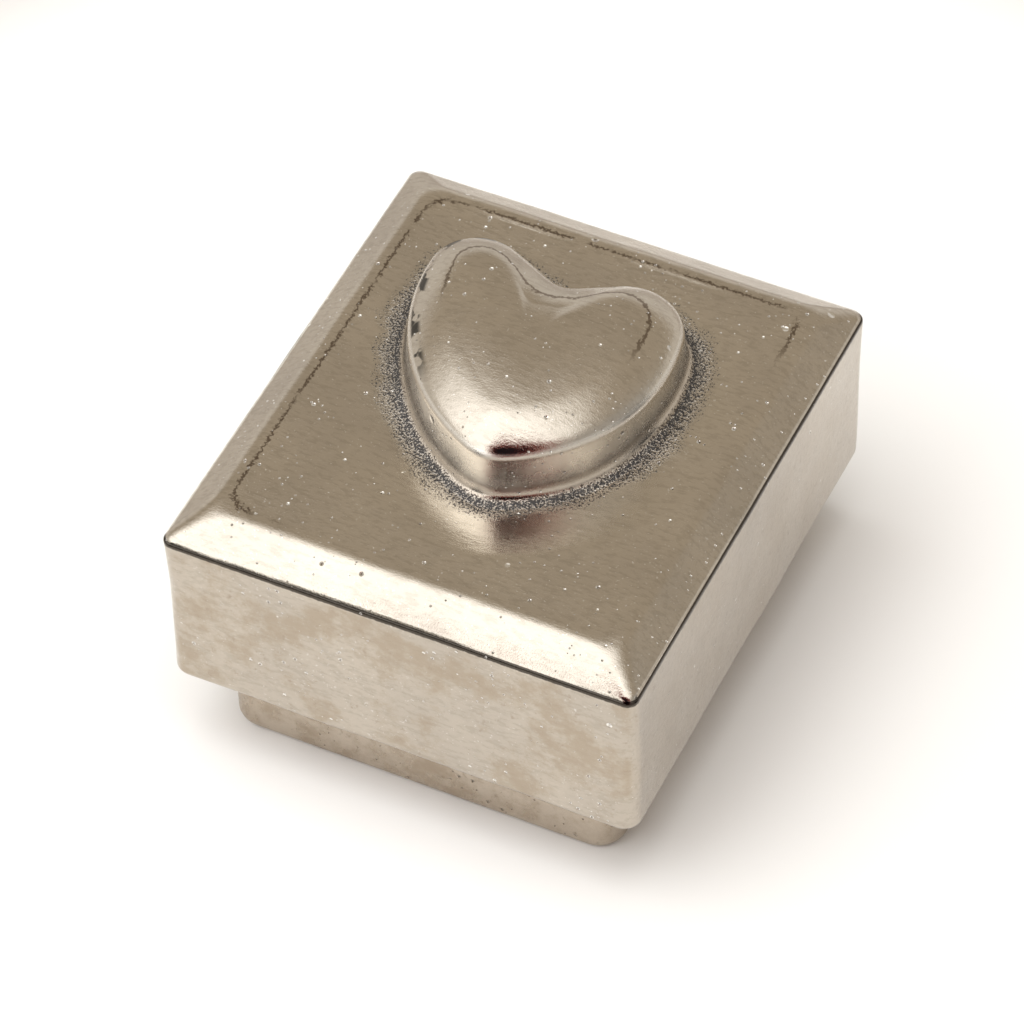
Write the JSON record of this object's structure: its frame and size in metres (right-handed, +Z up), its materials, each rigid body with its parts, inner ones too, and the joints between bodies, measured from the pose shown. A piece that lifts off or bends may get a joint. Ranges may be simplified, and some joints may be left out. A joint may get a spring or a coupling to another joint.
{
  "type": "wind up music box",
  "caption": "Small cast metal box whose lift-off lid carries a raised heart, with a wind-up comb movement inside and its winding key in a recess underneath.",
  "frame": {"origin": "centre of the footprint, on the surface the box stands on", "axes": "+Z up, front towards -Y (the heart's point), +X to the right; the longer side runs along Y"},
  "size_m": [0.08, 0.0892, 0.0622],
  "materials": {
    "nickel_plate": "sand-cast, nickel plated and hand polished",
    "base_plate": "sand-cast, nickel plated, half polished",
    "felt": "flocked felt",
    "zinc_cast": "die-cast zinc, tumbled",
    "steel": "turned and ground",
    "spring_steel": "blued spring steel",
    "comb_steel": "ground, hardened",
    "lead": "dull lead",
    "zinc_screw": "yellow zinc plated",
    "brass": "lacquered",
    "nickel_sheet": "nickel-plated pressed steel",
    "ivory_plastic": "moulded acetal",
    "clear_cover": "clear acrylic",
    "black_plastic": "moulded",
    "clip_steel": "phosphated"
  },
  "bodies": {
    "base": {"base_shell": "base_plate", "movement_screws": "steel", "bedplate": "zinc_cast", "spring_housing": "nickel_sheet", "mainspring": "spring_steel", "housing_screws": "zinc_screw", "rear_bracket": "nickel_sheet", "front_bracket": "nickel_sheet", "bracket_screws": "zinc_screw", "comb": "comb_steel", "comb_weights": "lead", "comb_screws": "zinc_screw", "governor_frame": "ivory_plastic", "governor_cap": "nickel_sheet", "governor_screws": "zinc_screw", "stop_guide": "ivory_plastic", "stop_spring": "steel", "movement_cover": "clear_cover", "cover_screws": "nickel_sheet"},
    "lid": {"lid": "nickel_plate", "lid_lining": "felt"},
    "great_wheel": {"great_wheel": "brass", "clutch_spring": "steel"},
    "winding_arbor": {"winding_arbor": "steel", "clutch_collar": "brass", "retaining_clip": "clip_steel", "winding_key": "nickel_sheet"},
    "tune_cylinder": {"tune_cylinder": "brass", "cylinder_arbor": "steel", "cylinder_pinion": "ivory_plastic", "train_gear": "ivory_plastic"},
    "governor_wheel": {"governor_wheel": "ivory_plastic", "governor_arbor": "steel"},
    "fly": {"worm": "steel", "fly": "ivory_plastic"},
    "stop_rod": {"stop_rod": "steel", "brake_pad": "felt", "rod_button": "black_plastic"}
  },
  "joints": [
    {"name": "lid_lift", "type": "slide", "parent": "base", "child": "lid", "axis": [0, 0, 1], "range_m": [0, 0.06]},
    {"name": "great_wheel_spin", "type": "hinge", "parent": "base", "child": "great_wheel", "pos_m": [0, 0.009, 0.03], "axis": [0, 0, 1], "continuous": true},
    {"name": "key_wind", "type": "hinge", "parent": "great_wheel", "child": "winding_arbor", "pos_m": [0, 0.009, 0.02], "axis": [0, 0, 1], "continuous": true},
    {"name": "cylinder_spin", "type": "hinge", "parent": "base", "child": "tune_cylinder", "pos_m": [0, -0.015, 0.02363], "axis": [0, 1, 0], "continuous": true},
    {"name": "governor_spin", "type": "hinge", "parent": "base", "child": "governor_wheel", "pos_m": [-0.008, -0.028, 0.02363], "axis": [0, 1, 0], "continuous": true},
    {"name": "fly_spin", "type": "hinge", "parent": "base", "child": "fly", "pos_m": [-0.0141, -0.0283, 0.025], "axis": [0, 0, 1], "continuous": true},
    {"name": "stop_rod_rise", "type": "slide", "parent": "base", "child": "stop_rod", "axis": [0, 0, 1], "range_m": [0, 0.003], "deforming": ["stop_spring"]}
  ],
  "couplings": [
    {"joint": "cylinder_spin", "follows": "great_wheel_spin", "ratio": 2.4},
    {"joint": "governor_spin", "follows": "great_wheel_spin", "ratio": -9.6},
    {"joint": "fly_spin", "follows": "great_wheel_spin", "ratio": 115.2},
    {"joint": "stop_rod_rise", "follows": "lid_lift", "ratio": 0.05}
  ]
}
